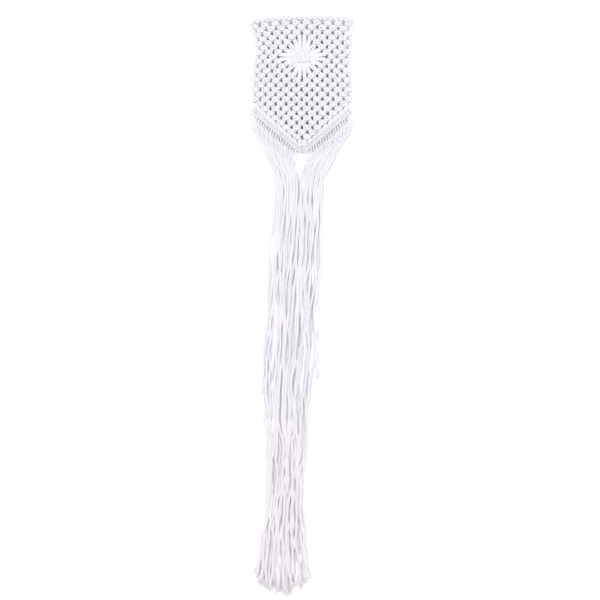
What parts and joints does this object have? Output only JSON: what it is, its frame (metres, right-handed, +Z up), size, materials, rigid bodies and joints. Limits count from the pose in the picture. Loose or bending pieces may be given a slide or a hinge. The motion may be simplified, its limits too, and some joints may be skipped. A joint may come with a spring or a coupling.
{
  "type": "macrame hanging",
  "caption": "Flat knotted cotton-cord panel with an open diamond motif, a pointed lower edge and a long hanging fringe.",
  "frame": {"origin": "middle of the holding cord's axis, in the panel's top edge", "axes": "+Z up, +X to the viewer's right, +Y to the back; the front of the panel faces -Y"},
  "size_m": [0.184, 0.0212, 0.9756],
  "materials": {
    "cotton_cord": "soft matt white cotton"
  },
  "bodies": {
    "hanger": {"holding_cord": "cotton_cord"},
    "panel": {"lark_heads": "cotton_cord", "square_knots_top_row": "cotton_cord", "square_knots_upper": "cotton_cord", "square_knots_left": "cotton_cord", "square_knots_right": "cotton_cord", "square_knots_lower": "cotton_cord", "edge_floats": "cotton_cord", "motif_centre_knot": "cotton_cord", "motif_strands_upper_left": "cotton_cord", "motif_strands_upper_right": "cotton_cord", "motif_strands_lower_left": "cotton_cord", "motif_strands_lower_right": "cotton_cord", "hitch_row_left_upper": "cotton_cord", "hitch_row_left_lower": "cotton_cord", "hitch_row_right_upper": "cotton_cord", "hitch_row_right_lower": "cotton_cord", "leader_cords_left": "cotton_cord", "leader_cords_right": "cotton_cord", "tip_knot": "cotton_cord"},
    "fringe": {"strand_01": "cotton_cord", "strand_02": "cotton_cord", "strand_03": "cotton_cord", "strand_04": "cotton_cord", "strand_05": "cotton_cord", "strand_06": "cotton_cord", "strand_07": "cotton_cord", "strand_08": "cotton_cord", "strand_09": "cotton_cord", "strand_10": "cotton_cord", "strand_11": "cotton_cord", "strand_12": "cotton_cord", "strand_13": "cotton_cord", "strand_14": "cotton_cord", "strand_15": "cotton_cord", "strand_16": "cotton_cord", "strand_17": "cotton_cord", "strand_18": "cotton_cord", "strand_19": "cotton_cord", "strand_20": "cotton_cord", "strand_21": "cotton_cord", "strand_22": "cotton_cord", "strand_23": "cotton_cord", "strand_24": "cotton_cord", "strand_25": "cotton_cord", "strand_26": "cotton_cord", "strand_27": "cotton_cord", "strand_28": "cotton_cord", "strand_29": "cotton_cord", "strand_30": "cotton_cord", "strand_31": "cotton_cord", "strand_32": "cotton_cord", "strand_33": "cotton_cord", "strand_34": "cotton_cord", "strand_35": "cotton_cord", "strand_36": "cotton_cord", "strand_37": "cotton_cord", "strand_38": "cotton_cord", "strand_39": "cotton_cord", "strand_40": "cotton_cord"}
  },
  "joints": [
    {"name": "panel_swing", "type": "hinge", "parent": "hanger", "child": "panel", "pos_m": [0, 0, 0], "axis": [1, 0, 0], "range_deg": [-30, 0]},
    {"name": "fringe_swing", "type": "hinge", "parent": "panel", "child": "fringe", "pos_m": [0, 0, -0.228], "axis": [1, 0, 0], "range_deg": [-15, 0]}
  ]
}
